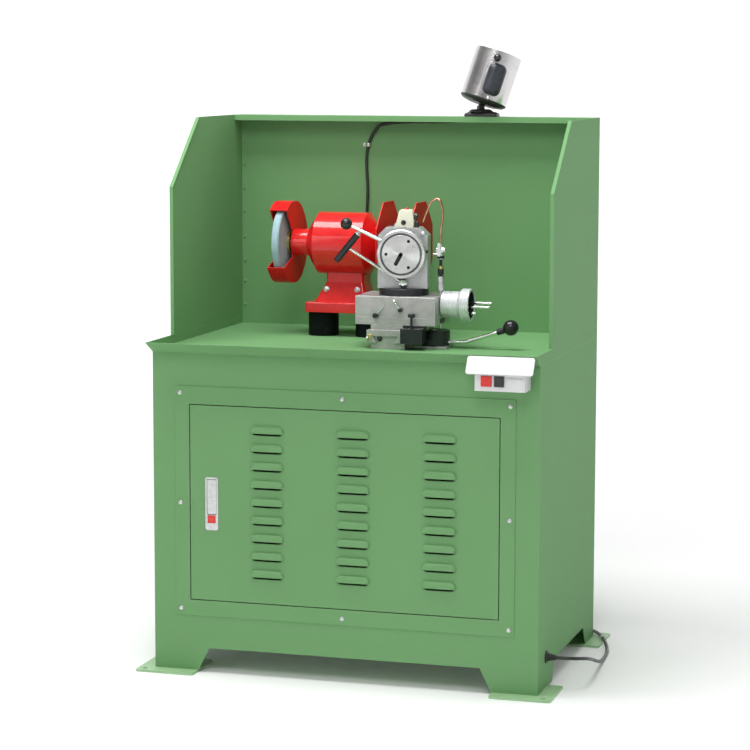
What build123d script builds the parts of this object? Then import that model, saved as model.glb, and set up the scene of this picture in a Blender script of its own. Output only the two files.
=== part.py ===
from build123d import *
import os
from math import cos, radians, sin, sqrt, tan

# Cabinet-type drill bit sharpener: a sheet-metal cabinet with a hooded tray, a twin-wheel
# bench grinder, a two-way slide with a swivelling drill holder, and a work lamp.
# Frame: X to the right, -Y towards the operator, Z up, origin on the floor at the centre
# of the four anchor holes. Millimetres.

# ---- cabinet ----
half_w, half_d = 500, 334
sheet = 2
foot_t = 6
deck_z = 818                     # underside of the tray
front_gap = (385, 354, 64.6)     # half widths at the floor and at the top, height
side_gap = [(-172, 0), (-150, 57), (203, 57), (238.7, 0)]
foot_x, foot_y = (385, 540), (220, 374)
anchor_x, anchor_y, anchor_r = 520, 354, 7
floor_z = 66
panel_gap_x, panel_gap_z = 412, (178, 702)
frame_x, frame_z = 440, (148, 734)
frame_gap_x, frame_gap_z = 402.5, (187.5, 689)
frame_face = -half_d - sheet     # front of the door frame and of the shut door
screw_spots = [(x, z) for x in (-427, 427) for z in (165, 437, 717)] + [(0, 165), (0, 717)]

# ---- door and latch ----
door_x, door_z, door_depth = 400, (190, 686.5), 18
hinge_x, hinge_y, hinge_r = 391, -330.5, 2.5
running = 0.05                   # radial clearance of a running fit
louver_w, louver_h, louver_proud, mouth_h = 87, 27, 8, 9
louver_cols = (-196, 28, 250)
louver_top_z, louver_pitch, louver_rows = 627, 45.6, 9
latch_x, latch_z = -343, 437.5
pull_y, pull_z = -333, 494       # pivot of the latch paddle
bolt_z = 440

# ---- tray and hood ----
tray_t, wall_t = 5, 3
tray_top = deck_z + tray_t
lip_y, lip_z, lip_t = -385, 845.5, 3
hood_z, knee_z = 1397, 1225
hood_front_y, hood_top_y = -208, -15
hem_w, hem_t = 6, 2.5
flange_y, flange_drop = 273, 15
cable_hole = (150, 316)
cable_drop = (-137, 322)
cable_r = 4

# ---- switch ----
box_x, box_y, box_z = (352, 476), (-396, -334), (760, 803)
stop_x, start_x, button_z = (367.7, 393.5), (400.7, 424.5), (772, 797)
button_gap = 0.3

# ---- lamp ----
base_spot = (190, 300)
lamp_x, lamp_y, lamp_z = 186, 298, 1420
lamp_lean, lamp_azimuth = 19.3, 34
shade_r, shade_start, shade_end = 63, 22, 152
handle_angle = -9

# ---- grinder ----
axis_y, axis_z = 130, 1066
body_r, neck_r, shaft_r, end_r = 82, 35.5, 10, 8
neck_left, neck_right = -277, -20.5
bearing_r, bearing_w = 17.5, 14
core_x = (-182, -92)
guard_r, left_guard_r, guard_t = 112, 108, 3
left_guard_x, right_guard_x = (-325, -277), (-20.5, 71)
left_wheel_x, right_wheel_x = (-311, -291), (5, 45)
left_wheel_r, right_wheel_r = 98, 62
bar_x, bar_y, bar_z = (-229, -25), (65, 195), (887, 913)
riser_r, riser_y, riser_xs = 40, 115, (-192, -62)

# ---- slides ----
slide_y = -80                    # line of the lead screw and of the swivel
way_gap = 0.08
way_x, way_half, way_rise = 58, 24, 9
base_x, base_y, base_top, way_top = (18, 107), (-150, 10), 839, 856
saddle_x, saddle_y = (9, 101), (-158, -4)
table_x, table_y, table_z = (18, 158), (-150, -10), (871, 884)
cross_half, cross_rise, cross_way_top = 22, 8, 899
cross_x, cross_y, cross_z = (-23, 186), (-150, -10), (884.1, 956)
screw_z, screw_r = 934, 6
nut_x, nut_y, nut_top = (72, 94), (-92, -68), 948
hub_x, hub_y, hub_r, hub_z = 167, -75, 37, (829, 868)
crank_r, crank_pin_r, stud_r = 28, 5, 8
lever_r = 5
pipe_x = 181

# ---- drill holder ----
swivel_x, holder_turn = 85, 8
disc_r, disc_top = 63, 974
pivot_r, pivot_top = 15, 990
block_w, block_d, block_z = 127, 62, (974.1, 1127)
spindle_z, bore_r, drill_r = 1062, 30, 8
ring_r, ring_back, ring_front = 62, 45, 61
dial_r, groove_r = 48.5, 53.5
clamp_x, clamp_z, clamp_d = 3, 987, 38

# ---- mains cord ----
cord_r = 4.25
gland_y, gland_z, gland_tip = -242, 82, 526
coil_x, coil_y, coil_r = 300, 399.5, 46.75
coil_entry, coil_exit = 72, 110  # where the cord joins and leaves the coil, in degrees
plug_r = 20

UP = (Align.CENTER, Align.CENTER, Align.MIN)
turn = radians(holder_turn)
right = Vector(cos(turn), sin(turn), 0)
front = Vector(sin(turn), -cos(turn), 0)
lean, azimuth = radians(lamp_lean), radians(lamp_azimuth)
lamp_axis = Vector(sin(lean) * cos(azimuth), sin(lean) * sin(azimuth), cos(lean))
tilt_axis = Vector(-sin(azimuth), cos(azimuth), 0)


def span(pair):
    return pair[1] - pair[0]


def middle(pair):
    return (pair[0] + pair[1]) / 2


def front_plane(y):
    """Plane facing the operator: local x to the right, local y up."""
    return Plane(origin=(0, y, 0), x_dir=(1, 0, 0), z_dir=(0, -1, 0))


def side_plane(x):
    """Plane facing +X: local x along +Y, local y up."""
    return Plane(origin=(x, 0, 0), x_dir=(0, 1, 0), z_dir=(1, 0, 0))


def block(x, y, z, mode=Mode.ADD):
    """Box between two limits on each axis."""
    with Locations((middle(x), middle(y), middle(z))):
        Box(span(x), span(y), span(z), mode=mode)


def plate(plane, outline, thickness, mode=Mode.ADD):
    """Flat plate with a polygon outline, grown along the plane's normal."""
    with BuildSketch(plane) as face:
        with BuildLine():
            Polyline(*outline, close=True)
        make_face()
    extrude(face.sketch, amount=thickness, mode=mode)


def turned(outline, origin, along, across, mode=Mode.ADD):
    """Turned piece from (radius, distance) points about an axis."""
    plane = Plane(origin=origin, x_dir=across, z_dir=along)
    with BuildSketch(Plane(origin=origin, x_dir=plane.x_dir, z_dir=-plane.y_dir)) as profile:
        with BuildLine():
            Polyline(*outline, close=True)
        make_face()
    revolve(profile.sketch, axis=Axis(origin, along), mode=mode)


def rod(start, end, radius, end_radius=None, mode=Mode.ADD):
    """Round bar between two points, tapered where a second radius is given."""
    along = Vector(*end) - Vector(*start)
    with Locations(Plane(origin=start, z_dir=along)):
        if end_radius is None:
            Cylinder(radius, along.length, align=UP, mode=mode)
        else:
            Cone(radius, end_radius, along.length, align=UP, mode=mode)


def dovetail(plane, half, rise, height, length, mode=Mode.ADD):
    """Way that widens upwards, extruded both ways from its middle plane."""
    with BuildSketch(plane) as face:
        with BuildLine():
            Polyline((-half, 0), (-half - rise, height), (half + rise, height), (half, 0), close=True)
        make_face()
    extrude(face.sketch, amount=length / 2, both=True, mode=mode)


def holder_point(x, z, d):
    """Point x to the right of the swivel axis, at height z, and d in front of it."""
    return Vector(swivel_x, slide_y, z) + right * x + front * d


def holder_plane(x, z, d):
    return Plane(origin=holder_point(x, z, d), x_dir=right, z_dir=front)


def lamp_point(s):
    """Point on the shade's axis, s above the tilt pin."""
    return Vector(lamp_x, lamp_y, lamp_z) + lamp_axis * s


def lamp_plane(s):
    return Plane(origin=lamp_point(s), x_dir=-tilt_axis, z_dir=lamp_axis)


def coil_spot(angle, radius, height, beyond=0):
    """Point on a turn of the coil, or beyond it along the tangent."""
    a = radians(angle)
    x = coil_x + radius * cos(a) - beyond * sin(a)
    y = coil_y + radius * sin(a) + beyond * cos(a)
    return (x, y, height)


def corner_radii(points):
    """Largest even radius at each corner of a cord's route."""
    radii = []
    for before, here, after in zip(points, points[1:], points[2:]):
        into, out = Vector(*here) - Vector(*before), Vector(*after) - Vector(*here)
        half_turn = radians(into.get_angle(out)) / 2
        radii.append(0.45 * min(into.length, out.length) / tan(half_turn))
    return radii


def cord_tube(points, radius):
    """Tube along straight runs joined by tangent arcs."""
    radii = corner_radii(points)
    with BuildLine() as path:
        FilletPolyline(*points, radius=radii)
    with BuildSketch(Plane(origin=points[0], z_dir=Vector(*points[1]) - Vector(*points[0]))) as end:
        Circle(radius)
    sweep(end.sketch, path=path.line)
    length = sum(edge.length for edge in path.edges())
    print("radii", [round(r) for r in radii], "length", round(length))


def save(part, name):
    part.part.label = name
    export_step(part.part, f"parts/{name}.step")


os.makedirs("parts", exist_ok=True)


# =========================== cabinet ===========================

def leg_gap():
    bottom, top, height = front_gap
    return [(-bottom, 0), (-top, height), (top, height), (bottom, 0)]


with BuildPart() as front_panel:
    block((-half_w, half_w), (-half_d, -half_d + sheet), (foot_t, deck_z))
    plate(front_plane(-half_d), leg_gap(), -sheet, Mode.SUBTRACT)
    block((-panel_gap_x, panel_gap_x), (-half_d, -half_d + sheet), panel_gap_z, Mode.SUBTRACT)
save(front_panel, "front_panel")

with BuildPart() as rear_panel:
    block((-half_w, half_w), (half_d - sheet, half_d), (foot_t, deck_z))
    plate(front_plane(half_d), leg_gap(), sheet, Mode.SUBTRACT)
save(rear_panel, "rear_panel")

side_y = (-half_d + sheet, half_d - sheet)
with BuildPart() as left_side_panel:
    block((-half_w, -half_w + sheet), side_y, (foot_t, deck_z))
    plate(side_plane(-half_w), side_gap, sheet, Mode.SUBTRACT)
save(left_side_panel, "left_side_panel")

with BuildPart() as right_side_panel:
    block((half_w - sheet, half_w), side_y, (foot_t, deck_z))
    plate(side_plane(half_w), side_gap, -sheet, Mode.SUBTRACT)
    rod((half_w - 10, gland_y, gland_z), (half_w + 10, gland_y, gland_z), 9, mode=Mode.SUBTRACT)
save(right_side_panel, "right_side_panel")

with BuildPart() as cabinet_floor:
    block((-half_w + sheet, half_w - sheet), side_y, (floor_z, floor_z + sheet))
save(cabinet_floor, "cabinet_floor")

with BuildPart() as foot_plates:
    with BuildSketch():
        for sx in (-1, 1):
            for sy in (-1, 1):
                with Locations((sx * middle(foot_x), sy * middle(foot_y))):
                    RectangleRounded(span(foot_x), span(foot_y), 8)
                with Locations((sx * anchor_x, sy * anchor_y)):
                    Circle(anchor_r, mode=Mode.SUBTRACT)
    extrude(amount=foot_t)
save(foot_plates, "foot_plates")

with BuildPart() as door_frame:
    block((-frame_x, frame_x), (frame_face, -half_d), frame_z)
    block((-frame_gap_x, frame_gap_x), (frame_face, -half_d), frame_gap_z, Mode.SUBTRACT)
    # hinge brackets welded behind the frame, each with its pin
    for shelf_z, leaf_z, pin_z in (
        ((688.5, 691.5), (691.5, 701), (675, 688.5)),
        ((185, 188), (179, 185), (188, 201)),
    ):
        block((380, 402), (-half_d, -half_d + 2.5), leaf_z)
        block((380, 402), (-half_d, -half_d + 10), shelf_z)
        rod((hinge_x, hinge_y, pin_z[0]), (hinge_x, hinge_y, pin_z[1]), hinge_r)
save(door_frame, "door_frame")

with BuildPart() as frame_screws:
    for x, z in screw_spots:
        dome = [(0, 0), (6, 0), (5.4, 2), (3.4, 3.4), (0, 4)]
        turned(dome, (x, frame_face, z), (0, -1, 0), (1, 0, 0))
save(frame_screws, "frame_screws")


# =========================== door and latch ===========================

louver_spots = [(x, louver_top_z - row * louver_pitch) for x in louver_cols for row in range(louver_rows)]

with BuildPart() as door:
    block((-door_x, door_x), (frame_face, frame_face + door_depth), door_z)
    block(
        (-door_x + sheet, door_x - sheet),
        (frame_face + sheet, frame_face + door_depth),
        (door_z[0] + sheet, door_z[1] - sheet),
        Mode.SUBTRACT,
    )
    # pressed louvers: a rounded hood over a downward mouth
    with BuildSketch(front_plane(frame_face)):
        with Locations(*louver_spots):
            SlotOverall(louver_w, louver_h)
    extrude(amount=louver_proud)
    crown_y = frame_face - louver_proud
    fillet(door.edges().filter_by(lambda edge: abs(edge.center().Y - crown_y) < 0.01), louver_proud - 1)
    with BuildSketch(front_plane(-half_d)):
        with Locations(*louver_spots):
            SlotOverall(louver_w - 6, louver_h - 6)
    extrude(amount=louver_proud + sheet - 2.5, mode=Mode.SUBTRACT)
    with BuildSketch(front_plane(frame_face)):
        with Locations(*[(x, z - (louver_h - mouth_h) / 2) for x, z in louver_spots]):
            Rectangle(louver_w + 1, mouth_h)
    extrude(amount=louver_proud + 1, mode=Mode.SUBTRACT)
    # opening for the latch, and a notch in the flange for its bolt
    block(
        (latch_x - 14.8, latch_x + 14.8), (frame_face, -half_d),
        (latch_z - 64.3, latch_z + 64.3), Mode.SUBTRACT,
    )
    block((-door_x, -door_x + sheet), (-333.5, -318), (bolt_z - 10, bolt_z + 10), Mode.SUBTRACT)
    # knuckles that turn on the hinge pins
    for z in ((674, door_z[1] - sheet), (door_z[0] + sheet, 202.5)):
        block((386, door_x - sheet), (-half_d, -326), z)
    rod((hinge_x, hinge_y, 660), (hinge_x, hinge_y, 700), hinge_r + running, mode=Mode.SUBTRACT)
    rod((hinge_x, hinge_y, 180), (hinge_x, hinge_y, 210), hinge_r + running, mode=Mode.SUBTRACT)
save(door, "door")

paddle_cavity = ((latch_x - 13, latch_x + 13), (409.5, 500))
with BuildPart() as latch_body:
    with BuildSketch(front_plane(frame_face)):
        with Locations((latch_x, latch_z)):
            RectangleRounded(34, 135, 6)
    extrude(amount=1.5)
    block((latch_x - 14.5, latch_x + 14.5), (frame_face, -318), (latch_z - 64, latch_z + 64))
    block(paddle_cavity[0], (-337.5, -319.5), paddle_cavity[1], Mode.SUBTRACT)
    block((-354.05, -332.45), (-337.5, -325), (387.7, 408.3), Mode.SUBTRACT)
    rod((latch_x - 16, pull_y, pull_z), (latch_x + 16, pull_y, pull_z), 1.5, mode=Mode.SUBTRACT)
    # guide rails for the bolt behind the latch
    for z in ((bolt_z - 11, bolt_z - 8.05), (bolt_z + 8.05, bolt_z + 11)):
        block((latch_x - 13, latch_x), (-318, -312.5), z)
    block((latch_x - 13, latch_x), (-314.4, -312.5), (bolt_z - 11, bolt_z + 11))
save(latch_body, "latch_body")

with BuildPart() as latch_paddle:
    block((-355, -331), (-336.5, -331.5), (411, 498.5))
    fillet(latch_paddle.edges().filter_by(Axis.Y), 1)
    rod((latch_x - 14.2, pull_y, pull_z), (latch_x + 14.2, pull_y, pull_z), 1.45)
save(latch_paddle, "latch_paddle")

with BuildPart() as latch_button:
    block((-353.8, -332.7), (-338, -332), (388, 408))
    fillet(latch_button.faces().sort_by(Axis.Y)[0].edges(), 1.2)
save(latch_button, "latch_button")

with BuildPart() as latch_bolt:
    block((-409, latch_x + 3), (-317.5, -314.5), (bolt_z - 8, bolt_z + 8))
    block((-409, -403), (-331.5, -314.5), (bolt_z - 8, bolt_z + 8))
save(latch_bolt, "latch_bolt")


# =========================== tray and hood ===========================

with BuildPart() as tray:
    block((-half_w, half_w), (-half_d, half_d), (deck_z, tray_top))
    for x in (-half_w, half_w - wall_t):
        wall = [(-half_d, deck_z), (half_d, deck_z), (half_d, lip_z), (lip_y, lip_z)]
        plate(side_plane(x), wall, wall_t)
    apron = [(-half_d, deck_z), (lip_y, lip_z), (lip_y + 2 * lip_t, lip_z), (-half_d, deck_z + lip_t)]
    plate(side_plane(-half_w), apron, 2 * half_w)
    rod((*cable_drop, deck_z), (*cable_drop, tray_top), cable_r + 1, mode=Mode.SUBTRACT)
save(tray, "tray")

hood_outline = [
    (hood_front_y, lip_z), (half_d, lip_z), (half_d, hood_z), (hood_top_y, hood_z), (hood_front_y, knee_z),
]
# inner edge of the hem, parallel to the upright and to the sloping front edge
slope_length = sqrt((hood_top_y - hood_front_y) ** 2 + (hood_z - knee_z) ** 2)
slope_y, slope_z = (hood_top_y - hood_front_y) / slope_length, (hood_z - knee_z) / slope_length
hem_y = hood_front_y + hem_t
hem_knee_z = knee_z - hem_t * (1 - slope_z) / slope_y
hem_top_y = hem_y + (hood_z - hem_knee_z) * slope_y / slope_z
hem_inside = [(hem_y, lip_z), (half_d, lip_z), (half_d, hood_z), (hem_top_y, hood_z), (hem_y, hem_knee_z)]

for side, name in ((-1, "left"), (1, "right")):
    inner = side * (half_w - wall_t)
    with BuildPart() as hood_side:
        plate(side_plane(inner), hood_outline, side * wall_t)
        plate(side_plane(inner), hood_outline, -side * hem_w)
        plate(side_plane(inner), hem_inside, -side * hem_w, Mode.SUBTRACT)
    save(hood_side, f"hood_{name}_panel")

with BuildPart() as hood_back_panel:
    back_x = (-half_w + wall_t, half_w - wall_t)
    block(back_x, (half_d - wall_t, half_d), (tray_top, hood_z))
    block(back_x, (flange_y, half_d), (hood_z - wall_t, hood_z))
    block(back_x, (flange_y, flange_y + wall_t), (hood_z - flange_drop, hood_z))
    rod((*cable_hole, hood_z - wall_t), (*cable_hole, hood_z), cable_r + 1, mode=Mode.SUBTRACT)
save(hood_back_panel, "hood_back_panel")


# =========================== switch ===========================

with BuildPart() as switch_cover:
    slope = Vector(0, -25, -40.5).normalized()
    cover_plane = Plane(origin=(415, -398.5, 823.25), x_dir=(1, 0, 0), z_dir=slope.cross(Vector(1, 0, 0)))
    with BuildSketch(cover_plane):
        RectangleRounded(166, 47.6, 6)
    extrude(amount=-3)
    block((box_x[0], box_x[1]), (-408, -340), (box_z[1], box_z[1] + 3))
save(switch_cover, "switch_cover")

with BuildPart() as switch_box:
    block(box_x, box_y, box_z)
    fillet(switch_box.edges().filter_by(Axis.X).group_by(Axis.Y)[0], 3)
    block(
        (box_x[0] + 2.5, box_x[1] - 2.5), (box_y[0] + 2.5, box_y[1] - 2.5),
        (box_z[0] + 2.5, box_z[1] - 2.5), Mode.SUBTRACT,
    )
    for x in (stop_x, start_x):
        hole_x = (x[0] - button_gap, x[1] + button_gap)
        hole_z = (button_z[0] - button_gap, button_z[1] + button_gap)
        block(hole_x, (box_y[0], box_y[0] + 2.5), hole_z, Mode.SUBTRACT)
save(switch_box, "switch_box")

for x, name in ((stop_x, "stop_button"), (start_x, "start_button")):
    with BuildPart() as push_button:
        block(x, (-400.5, -380), button_z)
        fillet(push_button.faces().sort_by(Axis.Y)[0].edges(), 1.2)
    save(push_button, name)


# =========================== lamp ===========================

pan_z = hood_z + 11
with BuildPart() as lamp_base:
    with BuildSketch(Plane.XY.offset(hood_z)):
        with Locations(base_spot):
            RectangleRounded(88, 44, 5)
    extrude(amount=11, taper=18)
    rod((lamp_x, lamp_y, pan_z - 8.5), (lamp_x, lamp_y, pan_z), 6 + running, mode=Mode.SUBTRACT)
save(lamp_base, "lamp_base")

cheek_t, tongue_t, pin_r = 5, 7.8, 3
with BuildPart() as lamp_swivel:
    rod((lamp_x, lamp_y, pan_z - 8), (lamp_x, lamp_y, pan_z + running), 6)
    rod((lamp_x, lamp_y, pan_z + running), (lamp_x, lamp_y, pan_z + 3.5), 20)
    for side in (-1, 1):
        centre = lamp_point(0) + tilt_axis * side * (4 + cheek_t / 2)
        across = Vector(cos(azimuth), sin(azimuth), 0)
        with Locations(Plane(origin=centre, x_dir=across, z_dir=tilt_axis)):
            Cylinder(8, cheek_t)
            with Locations((0, 4.5)):
                Box(16, 9, cheek_t)
    rod(lamp_point(0) - tilt_axis * 9, lamp_point(0) + tilt_axis * 9, pin_r)
save(lamp_swivel, "lamp_swivel")

with BuildPart() as lamp_cap:
    dome = [(0, 10), (40, 10), (55, 13.5), (61.5, 18), (shade_r, shade_start), (61.4, shade_start),
            (61.4, 26), (0, 26)]
    turned(dome, lamp_point(0), lamp_axis, -tilt_axis)
    with Locations(lamp_plane(0)):
        Box(tongue_t, 15, 10.5, align=UP)
    rod(lamp_point(0) - tilt_axis * tongue_t / 2, lamp_point(0) + tilt_axis * tongue_t / 2, 7.5)
    rod(lamp_point(0) - tilt_axis * 5, lamp_point(0) + tilt_axis * 5, pin_r + running, mode=Mode.SUBTRACT)
save(lamp_cap, "lamp_cap")

with BuildPart() as lamp_shade:
    rod(lamp_point(shade_start), lamp_point(shade_end), shade_r)
    rod(lamp_point(shade_start), lamp_point(shade_end), shade_r - 1.5, mode=Mode.SUBTRACT)
save(lamp_shade, "lamp_shade")

with BuildPart() as lamp_bulb:
    rod(lamp_point(26), lamp_point(58), 19)
    rod(lamp_point(58), lamp_point(80), 13, 26)
    with Locations(lamp_point(94)):
        Sphere(29.5)
save(lamp_bulb, "lamp_bulb")

outward = lamp_plane(0).x_dir.rotate(Axis((0, 0, 0), lamp_axis), handle_angle)
handle_plane = Plane(origin=lamp_point(78) + outward * 72, x_dir=lamp_axis.cross(outward), z_dir=outward)
with BuildPart() as lamp_handle:
    with BuildSketch(handle_plane):
        Ellipse(25, 44)
        with Locations((0, -46)):
            RectangleRounded(26, 34, 4)
    extrude(amount=-24)
    fillet(lamp_handle.faces().sort_by(Axis(lamp_point(0), outward))[-1].edges(), 2.5)
    rod(lamp_point(0), lamp_point(shade_end), shade_r, mode=Mode.SUBTRACT)
save(lamp_handle, "lamp_handle")

cable_route = [
    (*cable_hole, hood_z), (*cable_hole, 1381), (-90, 318, 1381), (-118, 322, 1352),
    (-133, 326, 1320), (-140, 327, 1277), (-134, 327, 1196), (-137.5, 327, 1136),
    (-137, 322, 1095), (*cable_drop, deck_z),
]
with BuildPart() as lamp_cable:
    cord_tube(cable_route, cable_r)
save(lamp_cable, "lamp_cable")


# =========================== grinder ===========================

def on_axis(outline, mode=Mode.ADD):
    """Turned piece about the grinding spindle, from (radius, x) points."""
    turned(outline, (0, axis_y, axis_z), (1, 0, 0), (0, 0, 1), mode)


def ring(x, outer, inner):
    """Plain ring about the grinding spindle."""
    on_axis([(inner, x[0]), (outer, x[0]), (outer, x[1]), (inner, x[1])])


def drum_slab(x, radius, corner, mode=Mode.ADD):
    """Eight-sided slab about the grinding spindle, with a flat on top and rounded corners."""
    with BuildSketch(Plane(origin=(x[0], axis_y, axis_z), x_dir=(0, 1, 0), z_dir=(1, 0, 0))) as face:
        RegularPolygon(radius, 8, major_radius=False, rotation=22.5)
        fillet(face.vertices(), corner)
    extrude(face.sketch, amount=span(x), mode=mode)


with BuildPart() as riser_pads:
    for x in riser_xs:
        rod((x, riser_y, tray_top), (x, riser_y, bar_z[0]), riser_r)
save(riser_pads, "riser_pads")

with BuildPart() as grinder_base:
    block(bar_x, bar_y, bar_z)
    fillet(grinder_base.edges().filter_by(Axis.Z), 6)
    fillet(grinder_base.faces().sort_by(Axis.Z)[-1].edges(), 3)
    with BuildSketch(Plane.XY.offset(bar_z[1])) as flare:
        with Locations((-134.5, axis_y)):
            RectangleRounded(145, 100, 8)
    with BuildSketch(Plane.XY.offset(965)) as neck:
        with Locations((-128.5, axis_y)):
            RectangleRounded(103, 64, 8)
    loft([flare.sketch, neck.sketch])
    extrude(neck.sketch, amount=40)
    rod((-300, axis_y, axis_z), (0, axis_y, axis_z), body_r, mode=Mode.SUBTRACT)
save(grinder_base, "grinder_base")

with BuildPart() as motor_housing:
    with BuildSketch(Plane(origin=(0, axis_y, axis_z), x_dir=(0, 0, 1), z_dir=(0, 1, 0))) as half:
        with BuildLine():
            # (radius, x) down the outside, then back through the bore
            Polyline(
                (neck_r, neck_left), (neck_r, -234), (60, -219), (body_r, -204),
                (body_r, -70), (60, -55), (neck_r, -42), (neck_r, neck_right),
                (bearing_r, neck_right), (bearing_r, neck_right - bearing_w),
                (13, neck_right - bearing_w), (13, -72), (76, -72), (76, -200), (13, -200),
                (13, neck_left + bearing_w), (bearing_r, neck_left + bearing_w),
                (bearing_r, neck_left), close=True,
            )
        make_face()
        fillet(half.vertices().filter_by(lambda v: abs(v.X - axis_z - body_r) < 0.1), 9)
    revolve(half.sketch, axis=Axis((0, axis_y, axis_z), (1, 0, 0)))
save(motor_housing, "motor_housing")

with BuildPart() as motor_stator:
    ring(core_x, 76, 51)
save(motor_stator, "motor_stator")

with BuildPart() as rotor_shaft:
    on_axis([
        (0, left_guard_x[0] + 4), (end_r, left_guard_x[0] + 4), (end_r, -284), (shaft_r, -284),
        (shaft_r, core_x[0]), (49.5, core_x[0]), (49.5, core_x[1]), (shaft_r, core_x[1]),
        (shaft_r, -2), (end_r, -2), (end_r, 62), (0, 62),
    ])
save(rotor_shaft, "rotor_shaft")

with BuildPart() as spindle_bearings:
    ring((neck_left, neck_left + bearing_w), bearing_r, shaft_r + running)
    ring((neck_right - bearing_w, neck_right), bearing_r, shaft_r + running)
save(spindle_bearings, "spindle_bearings")


def guard_shell(x, hole_x, radius, corner):
    """Closed guard with a shaft hole in the plate beside the motor."""
    drum_slab(x, radius, corner)
    drum_slab((x[0] + guard_t, x[1] - guard_t), radius - guard_t, corner - guard_t, Mode.SUBTRACT)
    rod((hole_x - 5, axis_y, axis_z), (hole_x + 5, axis_y, axis_z), 14, mode=Mode.SUBTRACT)


with BuildPart() as left_guard:
    guard_shell(left_guard_x, left_guard_x[1], left_guard_r, 90)
    mouth = [(-20, 30), (-75, 100), (-200, 100), (-200, -75), (-103, -68), (-20, -40)]
    outline = [(axis_y + y, axis_z + z) for y, z in mouth]
    plate(side_plane(left_guard_x[0]), outline, span(left_guard_x), Mode.SUBTRACT)
save(left_guard, "left_guard")

with BuildPart() as right_guard:
    guard_shell(right_guard_x, right_guard_x[0], guard_r, 16)
    # the band between the plates is left only low down at the back
    gap_x = (right_guard_x[0] + guard_t, right_guard_x[1] - guard_t)
    block(gap_x, (axis_y - 130, axis_y + 20), (axis_z - 100, axis_z + 130), Mode.SUBTRACT)
    block(gap_x, (axis_y + 20, axis_y + 130), (axis_z + 20, axis_z + 130), Mode.SUBTRACT)
save(right_guard, "right_guard")

wheels = ((left_wheel_x, left_wheel_r, "left_wheel"), (right_wheel_x, right_wheel_r, "right_wheel"))
for x, radius, name in wheels:
    with BuildPart() as wheel:
        bevel = 3
        on_axis([
            (end_r, x[0]), (radius - bevel, x[0]), (radius, x[0] + bevel),
            (radius, x[1] - bevel), (radius - bevel, x[1]), (end_r, x[1]),
        ])
    save(wheel, name)

with BuildPart() as wheel_flanges:
    left_pair = ((left_wheel_x[1], -284), (-315, left_wheel_x[0]))
    right_pair = ((-2, right_wheel_x[0]), (right_wheel_x[1], 51))
    for x in left_pair + right_pair:
        ring(x, 31, end_r)
    for x in ((-320.8, -315), (51, 60.5)):
        with BuildSketch(Plane(origin=(x[0], axis_y, axis_z), x_dir=(0, 1, 0), z_dir=(1, 0, 0))):
            RegularPolygon(12, 6, major_radius=False)
            Circle(end_r, mode=Mode.SUBTRACT)
        extrude(amount=span(x))
save(wheel_flanges, "wheel_flanges")


# =========================== slides ===========================

way_plane = Plane(origin=(way_x, middle(base_y), base_top), x_dir=(1, 0, 0), z_dir=(0, -1, 0))
cross_plane = Plane(origin=(middle(table_x), slide_y, table_z[1]), x_dir=(0, 1, 0), z_dir=(1, 0, 0))

with BuildPart() as slide_base:
    block(base_x, base_y, (tray_top, base_top))
    dovetail(way_plane, way_half, way_rise, way_top - base_top, span(base_y))
    # ear that carries the stud of the feed lever
    block((base_x[0], 205), (-110, -40), (tray_top, hub_z[0] - 0.2))
    rod((hub_x, hub_y, tray_top), (hub_x, hub_y, 870), stud_r)
save(slide_base, "slide_base")

with BuildPart() as saddle:
    block(saddle_x, saddle_y, (base_top + 0.1, table_z[0]))
    slot_height = way_top - base_top + way_gap
    dovetail(way_plane, way_half + way_gap, way_rise, slot_height, 400, Mode.SUBTRACT)
    block(table_x, table_y, table_z)
    dovetail(cross_plane, cross_half, cross_rise, cross_way_top - table_z[1], span(table_x))
    # nut of the lead screw, on a post that stands in the cross slide
    block(nut_x, nut_y, (cross_way_top - 5, nut_top))
    rod((60, slide_y, screw_z), (110, slide_y, screw_z), screw_r + running, mode=Mode.SUBTRACT)
    # slot for the crank pin of the feed lever
    yoke = crank_pin_r + 0.45
    block((131, 151), (hub_y - yoke, hub_y + yoke), (table_z[0], table_z[0] + 8), Mode.SUBTRACT)
    # lock bracket on the front corner, with its mushroom-headed screw
    block((saddle_x[1], 157), (-172, -128), (840, 878))
    rod((128, -163, 878), (128, -163, 908), 3)
    rod((128, -163, 907), (128, -163, 915), 9)
save(saddle, "saddle")

with BuildPart() as cross_slide:
    block(cross_x, cross_y, cross_z)
    slot_height = cross_way_top - table_z[1] + way_gap
    dovetail(cross_plane, cross_half + way_gap, cross_rise, slot_height, 600, Mode.SUBTRACT)
    block((40, 125), (-95, -65), (cross_z[0], 950), Mode.SUBTRACT)
    rod((-18, slide_y, screw_z), (cross_x[1], slide_y, screw_z), screw_r + running, mode=Mode.SUBTRACT)
    # shallow groove along the front, where the gib cover ends
    block(cross_x, (cross_y[0], cross_y[0] + 0.8), (903.3, 904.7), Mode.SUBTRACT)
    fillet(cross_slide.faces().sort_by(Axis.Z)[-1].edges(), 2)
save(cross_slide, "cross_slide")

with BuildPart() as lead_screw:
    rod((-16, slide_y, screw_z), (242, slide_y, screw_z), screw_r)
save(lead_screw, "lead_screw")

with BuildPart() as feed_drum:
    drum = [
        (screw_r, 188), (32.6, 188), (33.6, 189), (33.6, 208), (32.4, 208.6), (32.4, 210.4),
        (33.6, 211), (33.6, 231), (41, 240), (41, 261), (40, 262), (35, 262), (34, 236), (screw_r, 236),
    ]
    turned(drum, (0, slide_y, screw_z), (1, 0, 0), (0, 0, 1))
    for y, z in ((12, 4), (-12, -4)):
        rod((234, slide_y + y, screw_z + z), (311, slide_y + y, screw_z + z), 3.5)
save(feed_drum, "feed_drum")

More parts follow.
